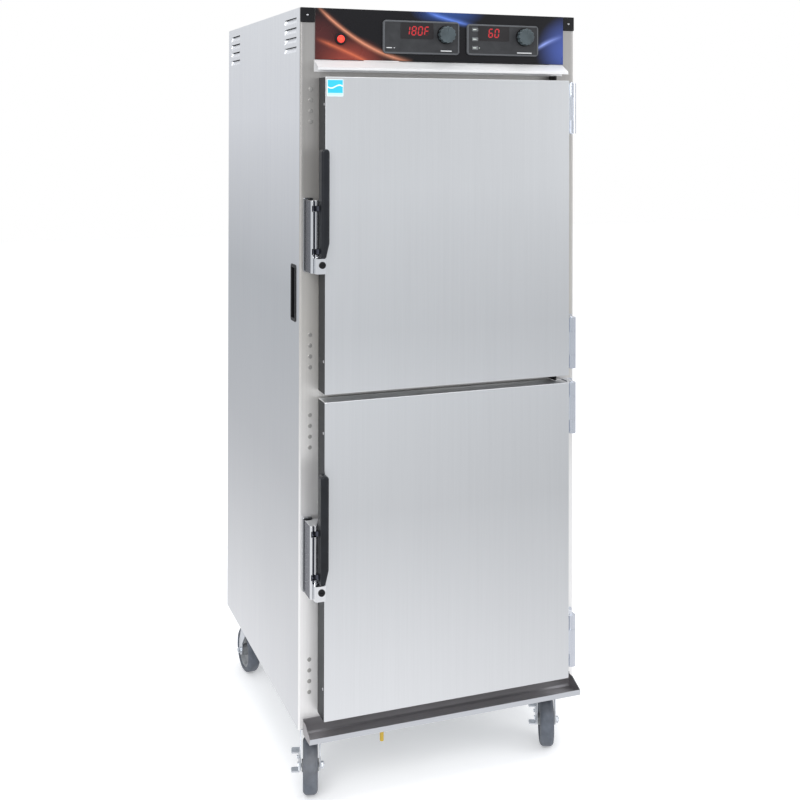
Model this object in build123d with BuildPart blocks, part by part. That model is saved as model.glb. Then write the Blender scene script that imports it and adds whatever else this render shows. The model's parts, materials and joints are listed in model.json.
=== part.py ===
from build123d import *
from math import cos, radians, sin
import os

# Mobile proofing cabinet: insulated stainless body on four swivel casters, two
# overlay doors hung on the right, control fascia at the top, drip trough below.
# Millimetres, +Z up, +X to the viewer's right, +Y towards the back.
# Origin: on the floor, at the centre of the overall envelope.
# Every depth y below is measured from the front frame's face, positive to the
# back; the plane helpers place it. Pairs are (low, high) limits along one axis,
# or a point on the plane in use.

os.makedirs("parts", exist_ok=True)

# ---------------------------------------------------------- driving dimensions
front_y = -365.0          # world Y of the front frame's face
body_w = 744.0            # outside width over the side panels
body_d = 797.0            # front frame face to back panel
body_bottom = 167.0       # underside of the base pan above the floor
body_top = 1905.0         # top panel
sheet = 1.2               # outer sheet thickness
corner_r = 4.5            # rounded front corner of the side panels
return_w = 5.5            # front return of the side panels
base_t = 2.0              # base pan thickness
frame_d = 30.0            # depth of the front frame's box section
open_w = 600.0            # clear opening width
upper_open = (1006.0, 1712.0)
lower_open = (231.0, 937.0)

door_x = (-326.5, 327.5)  # both doors
door_front, door_back = -60.0, -8.0
upper_z = (980.0, 1736.0)
lower_z = (206.0, 962.0)
hinge_axis = (341.5, -45.0)      # x, y
hinge_zu = (1665.5, 1061.5)      # hinge centres, upper door
hinge_zl = (894.5, 296.0)        # hinge centres, lower door
latch_zu = 1270.0                # bottom of the upper latch
latch_zl = 502.0                 # bottom of the lower latch
latch_h = 172.0

fascia_x = (-335.0, 340.0)
fascia_z = (1780.0, body_top)
cavity_back = 744.0       # liner's rear wall
liner_t = 1.0
motor_z = 1590.0          # blower axis height
motor_r = 42.0
drain_at = (-141.5, 50.0)        # x, y of the drain
drain_r = 8.0
cord_x, cord_z = -250.0, 1815.0  # cord entry in the back panel
grip_y = (30.0, 76.0)
grip_z = (1141.0, 1280.0)
run_clear = 0.05          # radial running clearance

half_w = body_w / 2
skin_in = half_w - sheet         # inner face of the side panels
return_in = half_w - return_w    # inner edge of their front returns
open_half = open_w / 2
door_t = door_back - door_front
motor_axis = (0, motor_z)
liner_half = open_half + liner_t
cavity_z = (lower_open[0] - 1.0, upper_open[1] + 1.0)
CUT = Mode.SUBTRACT


# --------------------------------------------------------------------- helpers
def level(z):
    """Horizontal plane at height z: local x = X, local y = depth, normal +Z."""
    return Plane(origin=(0, front_y, z), x_dir=(1, 0, 0), z_dir=(0, 0, 1))


def front_plane(y):
    """Plane facing the viewer at depth y: local x = X, local y = Z, normal -Y."""
    return Plane(origin=(0, front_y + y, 0), x_dir=(1, 0, 0), z_dir=(0, -1, 0))


def side_plane(x):
    """Plane across the cabinet at x: local x = depth, local y = Z, normal +X."""
    return Plane(origin=(x, front_y, 0), x_dir=(0, 1, 0), z_dir=(1, 0, 0))


# The four solids below join the BuildPart that is open when they are called.
# Their sketch is handed to extrude, as it can't join a block in the caller.
def block(x, y, z, mode=Mode.ADD):
    """Block between the given limits; those of x may come in either order."""
    x0, x1 = sorted(x)
    with BuildSketch(level(z[0])) as footprint:
        with Locations(((x0 + x1) / 2, (y[0] + y[1]) / 2)):
            Rectangle(x1 - x0, y[1] - y[0])
    extrude(footprint.sketch, amount=z[1] - z[0], mode=mode)


def disc(plane, centre, radius, length, mode=Mode.ADD):
    """Cylinder standing on the plane, length along its normal."""
    with BuildSketch(plane) as circle:
        with Locations(centre):
            Circle(radius)
    extrude(circle.sketch, amount=length, mode=mode)


def slab(plane, centre, size, corner, thickness, mode=Mode.ADD):
    """Rounded rectangle on the plane, extruded along its normal."""
    with BuildSketch(plane) as outline:
        with Locations(centre):
            RectangleRounded(size[0], size[1], corner)
    extrude(outline.sketch, amount=thickness, mode=mode)


def prism(plane, points, length):
    """Closed polygon on the plane, extruded along its normal."""
    with BuildSketch(plane) as outline:
        with BuildLine():
            Polyline(*points, close=True)
        make_face()
    extrude(outline.sketch, amount=length)


def span(half):
    """Limits at equal distances either side of zero."""
    return (-half, half)


def middle(limits):
    return (limits[0] + limits[1]) / 2


def smaller(size, total):
    """Width and height, each reduced by the same total."""
    return (size[0] - total, size[1] - total)


def front_face(builder):
    return builder.faces().sort_by(Axis.Y)[0]


def top_face(builder):
    return builder.faces().sort_by(Axis.Z)[-1]


def save(parts, name):
    """Writes one piece, or a list of solids as one compound piece."""
    shape = Compound(children=parts) if isinstance(parts, list) else parts
    shape.label = name
    export_step(shape, f"parts/{name}.step")


# ----------------------------------------------------------------- side panels
louver_y = (32.0, 647.0)                       # front end of each group
louver_z = (1799.0, 1822.7, 1846.4, 1870.1)    # bottom of each louver
louver_len = 112.0
louver_rise = 12.5
louver_gap = 0.9          # slot above the blade
louver_depth = 3.8        # inward lean behind the panel's inner face


def side_panel(side):
    outer, inner = side * half_w, side * skin_in
    bend_x = outer - side * corner_r
    return_x = side * return_in
    inner_r = corner_r - sheet
    diagonal = cos(radians(45))
    outer_mid = (outer - side * corner_r * (1 - diagonal), corner_r * (1 - diagonal))
    inner_mid = (inner - side * inner_r * (1 - diagonal), corner_r - inner_r * diagonal)
    through = (outer + side, inner - side)     # x limits of cuts through the sheet
    lean_x = inner - side * louver_depth
    with BuildPart() as panel:
        # folded section: outer skin, rounded front corner, short front return
        with BuildSketch(level(body_bottom)):
            with BuildLine():
                Line((return_x, 0), (bend_x, 0))
                ThreePointArc((bend_x, 0), outer_mid, (outer, corner_r))
                Line((outer, corner_r), (outer, body_d))
                Line((outer, body_d), (inner, body_d))
                Line((inner, body_d), (inner, corner_r))
                ThreePointArc((inner, corner_r), inner_mid, (bend_x, sheet))
                Line((bend_x, sheet), (return_x, sheet))
                Line((return_x, sheet), (return_x, 0))
            make_face()
        extrude(amount=body_top - body_bottom)
        # hand grip window
        block(through, (grip_y[0] + 6, grip_y[1] - 4), (grip_z[0] + 4, grip_z[1] - 4), CUT)
        # pressed louvers: blade leaning inwards towards its top edge, closed ends
        for y0 in louver_y:
            for z0 in louver_z:
                blade_top = z0 + louver_rise
                slot_top = blade_top + louver_gap
                block(through, (y0, y0 + louver_len), (z0, slot_top), CUT)
                blade = ((outer, z0), (lean_x, blade_top),
                         (lean_x - side * sheet, blade_top), (inner, z0 - 0.8))
                prism(front_plane(y0), blade, -louver_len)
                for end_y in (y0, y0 + louver_len - sheet):
                    end_wall = ((outer, z0), (outer, slot_top),
                                (inner, slot_top), (lean_x, blade_top))
                    prism(front_plane(end_y), end_wall, -sheet)
    return panel.part


save(side_panel(-1), "left_side_panel")
save(side_panel(1), "right_side_panel")

# -------------------------------------------------------- top, back, base pan
base_z = (body_bottom, body_bottom + base_t)
top_z = (body_top - sheet, body_top)

with BuildPart() as top_panel:
    block(span(skin_in), (corner_r, body_d), top_z)
    block(span(return_in), (0, corner_r), top_z)
save(top_panel.part, "top_panel")

with BuildPart() as back_panel:
    block(span(skin_in), (body_d - sheet, body_d), (body_bottom, body_top - sheet))
    # slots behind the motor and the control compartment, and the cord hole
    with BuildSketch(front_plane(body_d + 1)):
        for centre, slot_len in ((motor_axis, 70), ((120, 1840), 120)):
            with Locations(centre):
                with GridLocations(0, 14, 1, 5):
                    SlotOverall(slot_len, 5)
        with Locations((cord_x, cord_z)):
            Circle(11)
    extrude(amount=4, mode=CUT)
save(back_panel.part, "back_panel")

with BuildPart() as base_pan:
    block(span(skin_in), (corner_r, body_d - sheet), base_z)
    block(span(return_in), (0, corner_r), base_z)
    disc(level(body_bottom - 1), drain_at, drain_r + 1.0, 5, CUT)
save(base_pan.part, "base_pan")

# ----------------------------------------------------------------- front frame
# five box sections, kept as five solids
stile_z = (base_z[1], top_z[0])
stile_step = 6.0          # setback of the stile behind the panel's rounded corner
frame_parts = []
for side in (-1, 1):
    with BuildPart() as stile:
        block((side * open_half, side * return_in), (0, frame_d), stile_z)
        block((side * return_in, side * skin_in), (stile_step, frame_d), stile_z)
    frame_parts.append(stile.part)
for rail_z in ((stile_z[0], lower_open[0]), (lower_open[1], upper_open[0]),
               (upper_open[1], fascia_z[0] - 4)):
    with BuildPart() as frame_rail:
        block(span(open_half), (0, frame_d), rail_z)
    frame_parts.append(frame_rail.part)
save(frame_parts, "front_frame")

# -------------------------------------------------------- liner and insulation
with BuildPart() as inner_liner:
    block(span(liner_half), (frame_d, cavity_back + liner_t),
          (cavity_z[0] - liner_t, cavity_z[1] + liner_t))
    block(span(open_half), (frame_d - 1, cavity_back), cavity_z, CUT)
    disc(level(cavity_z[0] - 2), drain_at, drain_r + 0.5, 3, CUT)
    disc(front_plane(cavity_back + 3), motor_axis, 10, 6, CUT)
save(inner_liner.part, "inner_liner")

insul_half = half_w - 2
insul_y = (frame_d + 0.5, body_d - 2)
insul_z = (cavity_z[0] - 1.5, cavity_z[1] + 1.5)
insul_top_z = 1776.0
grip_pocket_x = 28.0      # depth of the pocket left for the hand grip
insulation = []
for side in (-1, 1):
    with BuildPart() as insul_side:
        block((side * (liner_half + 0.5), side * insul_half), insul_y, insul_z)
        block((side * (half_w - grip_pocket_x), side * half_w),
              (frame_d, grip_y[1] + 2), (grip_z[0] - 2, grip_z[1] + 2), CUT)
    insulation.append(insul_side.part)
with BuildPart() as insul_back:
    block(span(liner_half), (cavity_back + liner_t + 0.5, body_d - 2), insul_z)
    disc(front_plane(body_d), motor_axis, motor_r + 4, 60, CUT)
with BuildPart() as insul_top:
    block(span(insul_half), insul_y, (cavity_z[1] + 2.5, insul_top_z))
with BuildPart() as insul_bottom:
    block(span(insul_half), insul_y, (base_z[1] + 0.5, cavity_z[0] - 2.5))
    disc(level(body_bottom), drain_at, drain_r + 1.5, 80, CUT)
insulation += [insul_back.part, insul_top.part, insul_bottom.part]
save(insulation, "insulation")

# ------------------------------------------------------ header lip, caps, grips
lip_w = fascia_x[1] - fascia_x[0]
# y, z of the bent sheet's section
lip_section = (
    (0, 1750), (0, 1778.5), (-3.0, 1778.5), (-36.5, 1759.5), (-36.5, 1753.5),
    (-35.0, 1753.5), (-35.0, 1758.4), (-3.0, 1776.2), (-1.5, 1776.2), (-1.5, 1750),
)
with BuildPart() as header_lip:
    prism(side_plane(-lip_w / 2), lip_section, lip_w)
    # rounded outer corners of the drip edge
    fillet(header_lip.edges().filter_by(Axis.Z).sort_by(Axis.Y)[:2], 1.0)
save(header_lip.part, "header_lip")

cap_h = 36.0
cap_hole_z = body_top - 18
cap_widths = ((-1, 36.0), (1, 31.8))     # side, width
caps = []
for side, cap_w in cap_widths:
    with BuildPart() as corner_cap:
        block((side * half_w, side * (half_w - cap_w)), (-3, 0), (body_top - cap_h, body_top))
        fillet(corner_cap.edges().filter_by(Axis.Y), 2.5)
        fillet(front_face(corner_cap).edges(), 1.2)
        disc(front_plane(-4), (side * (half_w - cap_w / 2), cap_hole_z), 3.2, -6, CUT)
    caps.append(corner_cap.part)
save(caps, "corner_caps")

grips = []
for side in (-1, 1):
    outer = side * half_w
    with BuildPart() as hand_grip:
        # flange on the panel, then a cup open to the outside
        block((outer, outer + side * 1.8), grip_y, grip_z)
        fillet(hand_grip.edges().filter_by(Axis.X), 8)
        block((outer, outer - side * 22),
              (grip_y[0] + 7, grip_y[1] - 5), (grip_z[0] + 5, grip_z[1] - 5))
        block((outer + side * 3, outer - side * 20),
              (grip_y[0] + 9.5, grip_y[1] - 7.5), (grip_z[0] + 8, grip_z[1] - 8), CUT)
        fillet(hand_grip.faces().sort_by(Axis.X)[-1 if side > 0 else 0].edges(), 0.8)
    grips.append(hand_grip.part)
save(grips, "hand_grips")

# spare hinge holes on the left stile, closed by domed plugs
plug_x = -345.5
plugs = []
for group_z in (1668.0, 1075.0, 882.0, 294.0):
    for dz in (-39.0, -13.0, 13.0, 39.0):
        with BuildPart() as plug:
            disc(front_plane(0), (plug_x, group_z + dz), 5.0, 1.2)
            fillet(front_face(plug).edges(), 0.7)
        plugs.append(plug.part)
save(plugs, "frame_plugs")

# ----------------------------------------------------------- strikes and stops
strikes = []
for latch_z in (latch_zu, latch_zl):
    with BuildPart() as strike:
        block((-364.5, -341), (-9, 0), (latch_z - 2, latch_z + latch_h + 4))
        fillet(strike.edges().filter_by(Axis.Y), 3)
        fillet(front_face(strike).edges(), 1.5)
    strikes.append(strike.part)
save(strikes, "latch_strikes")

# small rubber stops on the frame above each door, near the hinge side
stops = []
for stop_z in ((upper_z[1] + 2.0, upper_z[1] + 13.0), (lower_z[1] + 2.5, upper_z[0] - 2.5)):
    with BuildPart() as door_stop:
        block((299.0, 305.0), (-34, 0), stop_z)
        fillet(front_face(door_stop).edges(), 1.5)
    stops.append(door_stop.part)
save(stops, "door_stops")

# ---------------------------------------------------------------------- hinges
hinge_half = 65.0         # half height of a hinge
hinge_r = 11.5            # knuckle radius
hinge_pin_r = 4.0
knuckle_half = 30.0       # half height of the door's middle knuckle
knuckle_gap = 0.4
hinge_x, hinge_y = hinge_axis


def hinge_frame_leaf(zc):
    """Leaf on the frame with the end knuckles and the pin, centred on height zc."""
    bottom, top = zc - hinge_half, zc + hinge_half
    with BuildPart() as leaf:
        block((334.5, 367), (-3, 0), (bottom, top))
        fillet(leaf.edges().filter_by(Axis.Y), 4)
        for z0, z1 in ((bottom, zc - knuckle_half - knuckle_gap),
                       (zc + knuckle_half + knuckle_gap, top)):
            disc(level(z0), hinge_axis, hinge_r, z1 - z0)
            block((hinge_x - 4, hinge_x + hinge_r), (hinge_y, -2), (z0, z1))
        disc(level(bottom - 2), hinge_axis, hinge_pin_r, 2 * hinge_half + 4)
        fillet(leaf.edges().filter_by(GeomType.CIRCLE).group_by(Axis.Z)[-1], 1.2)
    return leaf.part


def hinge_door_leaf(zc):
    """Leaf on the door's edge with the middle knuckle, centred on height zc."""
    knuckle_z = (zc - knuckle_half, zc + knuckle_half)
    with BuildPart() as leaf:
        block((door_x[1], door_x[1] + 1.5), (-57, -12),
              (zc - hinge_half + 2, zc + hinge_half - 2))
        disc(level(knuckle_z[0]), hinge_axis, hinge_r, 2 * knuckle_half)
        block((door_x[1], hinge_x), (hinge_y - hinge_r, hinge_y + 4), knuckle_z)
        disc(level(knuckle_z[0] - 1), hinge_axis, hinge_pin_r + run_clear,
             2 * knuckle_half + 2, CUT)
    return leaf.part


save([hinge_frame_leaf(zc) for zc in hinge_zu + hinge_zl], "hinge_frame_leaves")


# ----------------------------------------------------------------------- doors
# The four door pieces take the door's centre (x, z) and size (width, height).
def door_skin(centre, size):
    with BuildPart() as skin:
        with BuildSketch(front_plane(door_back)):
            with Locations(centre):
                Rectangle(size[0], size[1])
        extrude(amount=door_t)
        fillet(skin.edges().filter_by(Axis.Y), 2.5)
        fillet(front_face(skin).edges(), 1.8)
        # hollow from the back, leaving a 1 mm skin
        slab(front_plane(door_back + 1), centre, smaller(size, 2), 1.5, door_t, CUT)
    return skin.part


def door_liner(centre, size):
    flange = smaller(size, 3)
    window = smaller(size, 110)
    with BuildPart() as liner:
        with BuildSketch(front_plane(door_back)):
            with Locations(centre):
                RectangleRounded(flange[0], flange[1], 1.2)
                Rectangle(window[0], window[1], mode=CUT)
        extrude(amount=1.0)
        # inner dish standing towards the opening, hollow at the front
        slab(front_plane(door_back), centre, smaller(size, 108), 12, -5.0)
        slab(front_plane(door_back + 4), centre, smaller(size, 111), 10.5, 6.0, CUT)
    return liner.part


def door_insulation(centre, size):
    with BuildPart() as core:
        slab(front_plane(door_back - 1.5), centre, smaller(size, 3), 1.0, door_t - 3)
    return core.part


def door_gasket(centre, size):
    """Silicone bulb gasket around the opening."""
    outside, inside = smaller(size, 12), smaller(size, 44)
    with BuildPart() as gasket:
        with BuildSketch(front_plane(-0.3)):
            with Locations(centre):
                RectangleRounded(outside[0], outside[1], 10)
                RectangleRounded(inside[0], inside[1], 6, mode=CUT)
        extrude(amount=7.6)
        fillet(gasket.faces().sort_by(Axis.Y)[-1].edges(), 2.4)
    return gasket.part


# --------------------------------------------------------------------- latches
# Each latch piece takes the height of the latch's bottom.
pivot_x, pivot_y = -351.5, -48.0     # lever pivot
pivot_pin_r = 2.5
ear_heights = ((44.0, 58.0), (146.0, 160.0))   # ear slots above the latch's bottom
ridge_x = (-357.7, -349.2)
lever_x = (-343.0, -323.0)
lever_bottom = 38.0       # above the latch's bottom
lever_len = 256.0
lock_x, lock_rise = -340.0, 21.0     # lock plug, height above the latch's bottom
# x, y of a lever ear, from the pivot to the lever's back
ear_outline = (
    (pivot_x - 3, pivot_y + 6.2), (pivot_x + 6.5, pivot_y + 5), (-336.5, -62),
    (-336.5, -67), (-342.0, -67), (pivot_x - 6, pivot_y - 2),
)


def latch_body(bottom):
    """Ridged bar beside the door edge, with a foot in front of the door."""
    with BuildPart() as body:
        block((-362, door_x[0]), (door_front, -13), (bottom, bottom + latch_h))
        with BuildSketch(level(bottom)):
            with Locations(*[(x, door_front) for x in ridge_x]):
                Circle(4.0)
        extrude(amount=latch_h)
        # groove between the two ridges
        disc(level(bottom - 1), (middle(ridge_x), -62), 2.4, latch_h + 2, CUT)
        # recess that the lever's root turns in
        block((-343.5, door_x[0] + 1), (-62, -56), (bottom + 36, bottom + latch_h + 1), CUT)
        for low, high in ear_heights:
            block((-359.8, door_x[0] + 1), (-70, -38), (bottom + low, bottom + high), CUT)
        # foot that carries the lock plug
        slab(level(bottom), (-341.5, -72), (27, 24.6), 5, 36)
        fillet(top_face(body).edges(), 1.0)
        # pivot pin through both ear slots
        pin_low, pin_high = ear_heights[0][0] - 6, ear_heights[1][1] + 6
        disc(level(bottom + pin_low), (pivot_x, pivot_y), pivot_pin_r, pin_high - pin_low)
        disc(front_plane(-85), (lock_x, bottom + lock_rise), 8.4, -6, CUT)
    return body.part


def latch_lock(bottom):
    centre = (lock_x, bottom + lock_rise)
    with BuildPart() as lock:
        disc(front_plane(-79), centre, 8.3, 8.5)
        fillet(front_face(lock).edges(), 1.6)
        with BuildSketch(front_plane(-88.5)):
            with Locations(centre):
                SlotOverall(9, 2)
        extrude(amount=-2.5, mode=CUT)
    return lock.part


def latch_lever(bottom):
    """Tall grip with a tapered foot and two ears on the pivot pin."""
    z0 = bottom + lever_bottom
    z1 = z0 + lever_len
    grip_outline = ((lever_x[0], z0), (-331.0, z0), (lever_x[1], z0 + 34),
                    (lever_x[1], z1), (lever_x[0], z1))
    with BuildPart() as lever:
        prism(front_plane(-63), grip_outline, 26)
        fillet(lever.edges().filter_by(Axis.Y).group_by(Axis.Z)[-1], 9)
        fillet(front_face(lever).edges(), 5)
        for low, high in ear_heights:
            ear_z = bottom + low + 1
            ear_t = high - low - 2
            with BuildSketch(level(ear_z)):
                with BuildLine():
                    Polyline(*ear_outline, close=True)
                make_face()
                with Locations((pivot_x, pivot_y)):
                    Circle(7)
            extrude(amount=ear_t)
            disc(level(ear_z - 1), (pivot_x, pivot_y), pivot_pin_r + run_clear,
                 ear_t + 2, CUT)
    return lever.part


for tag, door_z, hinge_zs, latch_z in (
    ("upper", upper_z, hinge_zu, latch_zu),
    ("lower", lower_z, hinge_zl, latch_zl),
):
    centre = (middle(door_x), middle(door_z))
    size = (door_x[1] - door_x[0], door_z[1] - door_z[0])
    save(door_skin(centre, size), f"{tag}_door_skin")
    save(door_liner(centre, size), f"{tag}_door_liner")
    save(door_insulation(centre, size), f"{tag}_door_insulation")
    save(door_gasket(centre, size), f"{tag}_door_gasket")
    save([hinge_door_leaf(zc) for zc in hinge_zs], f"{tag}_hinge_leaves")
    save(latch_body(latch_z), f"{tag}_latch_body")
    save(latch_lock(latch_z), f"{tag}_latch_lock")
    save(latch_lever(latch_z), f"{tag}_latch_lever")

# -------------------------------------------------------------- control fascia
fascia_t = 2.5
switch_at = (-271.0, 1830.6)
# name, x limits, z limits, knob centre (x, z)
modules = (
    ("temperature", (-162.5, 42.0), (1798.0, 1881.0), (4.5, 1848.0)),
    ("humidity", (63.5, 264.5), (1799.0, 1878.0), (223.5, 1848.0)),
)

with BuildPart() as fascia:
    block(fascia_x, (-fascia_t, 0), fascia_z)
    fillet(front_face(fascia).edges(), 0.8)
    for _, module_x, module_z, _ in modules:
        block((module_x[0] + 10, module_x[1] - 10), (-4, 1),
              (module_z[0] + 8, module_z[1] - 8), CUT)
    disc(front_plane(1), switch_at, 12, 5, CUT)
with BuildPart() as switch_bezel:
    disc(front_plane(-fascia_t), switch_at, 14.5, 3.5)
    fillet(front_face(switch_bezel).edges(), 1.5)
    # barrel behind the fascia, bored open at the front
    disc(front_plane(30), switch_at, 11.6, 33)
    disc(front_plane(22), switch_at, 9.6, 40, CUT)
save([fascia.part, switch_bezel.part], "control_fascia")

with BuildPart() as power_button:
    disc(front_plane(17), switch_at, 9.55, 26.0)
    fillet(front_face(power_button).edges(), 2.2)
save(power_button.part, "power_button")

shaft_r = 3.0             # knob shaft
knob_back, knob_len = -10.3, 15.0


def control_module(module_x, module_z, knob_at):
    centre = (middle(module_x), middle(module_z))
    size = (module_x[1] - module_x[0], module_z[1] - module_z[0])
    with BuildPart() as module:
        slab(front_plane(-fascia_t), centre, size, 9, 6.5)
        fillet(front_face(module).edges(), 2.0)
        # shallow field inside the raised rim
        slab(front_plane(-9), centre, smaller(size, 8), 6.5, -1.2, CUT)
        # collar around the dial
        disc(front_plane(-7.8), knob_at, 23.5, 2.2)
        # housing behind the fascia
        with BuildSketch(front_plane(70)):
            with Locations(centre):
                Rectangle(size[0] - 22, size[1] - 18)
        extrude(amount=70 + fascia_t)
        disc(front_plane(0), knob_at, shaft_r + run_clear, 20, CUT)
    return module.part


def control_knob(centre):
    """Scalloped knob with its shaft."""
    with BuildPart() as knob:
        with BuildSketch(front_plane(knob_back)):
            with Locations(centre):
                Circle(21.3)
                with PolarLocations(22.9, 12, start_angle=15):
                    Circle(3.6, mode=CUT)
        extrude(amount=knob_len)
        chamfer(front_face(knob).edges(), 0.9)
        disc(front_plane(knob_back), centre, shaft_r, -9)
        # pointer groove
        with BuildSketch(front_plane(knob_back - knob_len - 0.2)):
            with Locations((centre[0], centre[1] + 11)):
                Rectangle(1.8, 14)
        extrude(amount=-1.2, mode=CUT)
    return knob.part


for tag, module_x, module_z, knob_at in modules:
    save(control_module(module_x, module_z, knob_at), f"{tag}_module")
    save(control_knob(knob_at), f"{tag}_knob")

# ---------------------------------------------------- air system in the cavity
tunnel_front = 692.0
tunnel_half = 250.0
tunnel_z = (300.0, 1700.0)
shaft_motor_r = 4.0
wheel_disc_r = 75.0       # blower wheel

with BuildPart() as air_tunnel:
    block(span(tunnel_half), (tunnel_front, cavity_back), tunnel_z)
    block(span(tunnel_half - sheet), (tunnel_front + sheet, cavity_back + 1),
          (tunnel_z[0] + sheet, tunnel_z[1] - sheet), CUT)
    # rings of holes before the blower, two columns of upright slots
    with BuildSketch(front_plane(tunnel_front + 3)):
        with Locations(motor_axis):
            for ring_r, holes in ((20, 8), (38, 14), (56, 20)):
                with PolarLocations(ring_r, holes):
                    Circle(5.5)
        with Locations((0, 900)):
            with GridLocations(430, 150, 2, 7):
                SlotOverall(60, 9, rotation=90)
    extrude(amount=6, mode=CUT)
save(air_tunnel.part, "air_tunnel")

motor_y = (cavity_back + 3, body_d - 6)
with BuildPart() as blower_motor:
    disc(front_plane(motor_y[1]), motor_axis, motor_r, motor_y[1] - motor_y[0])
    fillet(blower_motor.edges().filter_by(GeomType.CIRCLE), 4)
    disc(front_plane(motor_y[0]), motor_axis, shaft_motor_r, 40)
save(blower_motor.part, "blower_motor")

with BuildPart() as blower_wheel:
    # back disc and hub
    disc(front_plane(735), motor_axis, wheel_disc_r, 2)
    disc(front_plane(735), motor_axis, 14, 26)
    # blades
    with BuildSketch(front_plane(733)):
        with Locations(motor_axis):
            with PolarLocations(66, 30):
                Rectangle(14, 1.6, rotation=35)
    extrude(amount=29)
    # front ring
    with BuildSketch(front_plane(706)):
        with Locations(motor_axis):
            Circle(wheel_disc_r)
            Circle(56, mode=CUT)
    extrude(amount=2)
    disc(front_plane(737), motor_axis, shaft_motor_r + run_clear, 30, CUT)
save(blower_wheel.part, "blower_wheel")

# tubular heating element: flat serpentine in the tunnel below the wheel
heater_y = front_y + 716  # world Y
heater_half = 160.0
heater_z = (1470, 1430, 1390)    # the three runs, top to bottom
with BuildPart() as heating_element:
    with BuildLine() as heater_path:
        FilletPolyline(
            (-heater_half, heater_y, heater_z[0]), (heater_half, heater_y, heater_z[0]),
            (heater_half, heater_y, heater_z[1]), (-heater_half, heater_y, heater_z[1]),
            (-heater_half, heater_y, heater_z[2]), (heater_half, heater_y, heater_z[2]),
            radius=12)
    with BuildSketch(Plane(origin=(-heater_half, heater_y, heater_z[0]),
                           x_dir=(0, 1, 0), z_dir=(1, 0, 0))):
        Circle(4)
    sweep(path=heater_path.wires()[0])
save(heating_element.part, "heating_element")

pan_half = 190.0
pan_y = (110.0, 400.0)
pan_t = 2.0
pan_floor = cavity_z[0] + 0.2
with BuildPart() as water_pan:
    block(span(pan_half), pan_y, (pan_floor, cavity_z[0] + 62))
    fillet(water_pan.edges().filter_by(Axis.Z), 14)
    block(span(pan_half - pan_t), (pan_y[0] + pan_t, pan_y[1] - pan_t),
          (pan_floor + pan_t, cavity_z[0] + 70), CUT)
    # rim
    with BuildSketch(level(cavity_z[0] + 60)):
        with Locations((0, middle(pan_y))):
            RectangleRounded(400, 310, 16)
            RectangleRounded(377, 287, 12, mode=CUT)
    extrude(amount=pan_t)
save(water_pan.part, "water_pan")

# --------------------------------------------------------------- slide support
post_x = 275.0            # inner face of the posts
post_w = 26.0
post_t = 2.0
rail_levels = 12
rail_pitch = 114.3
rail_first = 330.0
rail_inner = 213.0        # inner edge of the rails
rail_t = 1.5

posts = []
for side in (-1, 1):
    for post_y in (130.0, 560.0):
        with BuildPart() as post:
            # channel open towards the cavity's side wall
            block((side * post_x, side * 299.5), (post_y, post_y + post_w), (300, 1700))
            block((side * (post_x + post_t), side * 299.6),
                  (post_y + post_t, post_y + post_w - post_t), (299, 1701), CUT)
            with BuildSketch(side_plane(side * 270)):
                with Locations((post_y + post_w / 2, 1000)):
                    with GridLocations(0, rail_pitch / 3, 1, 35):
                        Rectangle(10, 6)
            extrude(amount=side * 8, mode=CUT)
        posts.append(post.part)
save(posts, "slide_posts")

rails = []
for k in range(rail_levels):
    z = rail_first + k * rail_pitch
    for side in (-1, 1):
        angle_section = (
            (side * rail_inner, z), (side * post_x, z),
            (side * post_x, z + 24), (side * (post_x - rail_t), z + 24),
            (side * (post_x - rail_t), z + rail_t), (side * rail_inner, z + rail_t),
        )
        with BuildPart() as rail:
            prism(front_plane(95), angle_section, -560)
        rails.append(rail.part)
save(rails, "slide_rails")

# ----------------------------------------------------------------- drip trough
trough_half = 361.0
# y, z of the outside, from the back flange under the bottom to the front lip
trough_outside = ((-0.6, 161), (-6, 157), (-58, 157), (-60, 158.5), (-60, 170.5))
trough_inside = ((-58.5, 170.5), (-58.5, 158.5), (-6.5, 158.5), (-1.8, 161.8), (-1.8, 193))
end_t = 1.2
with BuildPart() as drip_trough:
    prism(side_plane(-trough_half), ((-0.6, 193), *trough_outside, *trough_inside),
          2 * trough_half)
    for x in (-trough_half, trough_half - end_t):
        prism(side_plane(x), ((-0.6, 188), *trough_outside, (-20, 188)), end_t)
save(drip_trough.part, "drip_trough")

# ----------------------------------------------------------------- drain valve
valve_z = 132.0
stem_r = 4.0
drain_x, drain_y = drain_at
with BuildPart() as drain_valve:
    # tube, hexagonal body, outlet
    disc(level(102), drain_at, drain_r, cavity_z[0] - 102 - 0.5)
    with BuildSketch(level(valve_z - 14)):
        with Locations(drain_at):
            RegularPolygon(13, 6)
    extrude(amount=28)
    disc(level(78), drain_at, 5, 26)
    # stem of the ball, pointing to the back
    disc(front_plane(drain_y + 22), (drain_x, valve_z), stem_r, 20)
    # bore
    disc(level(77), drain_at, 3.5, 210, CUT)
save(drain_valve.part, "drain_valve")

with BuildPart() as drain_handle:
    with BuildSketch(front_plane(drain_y + 21)):
        with Locations((drain_x, valve_z)):
            Circle(9)
        with Locations((drain_x + 32, valve_z)):
            SlotOverall(72, 12)
    extrude(amount=4)
    disc(front_plane(drain_y + 24), (drain_x, valve_z), stem_r + run_clear, 10, CUT)
save(drain_handle.part, "drain_handle")

# --------------------------------------------------------------------- casters
caster_x = 323.5
caster_front = 64.0       # depth of the front swivel centres
caster_rear = 672.0       # depth of the rear swivel centres
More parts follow.
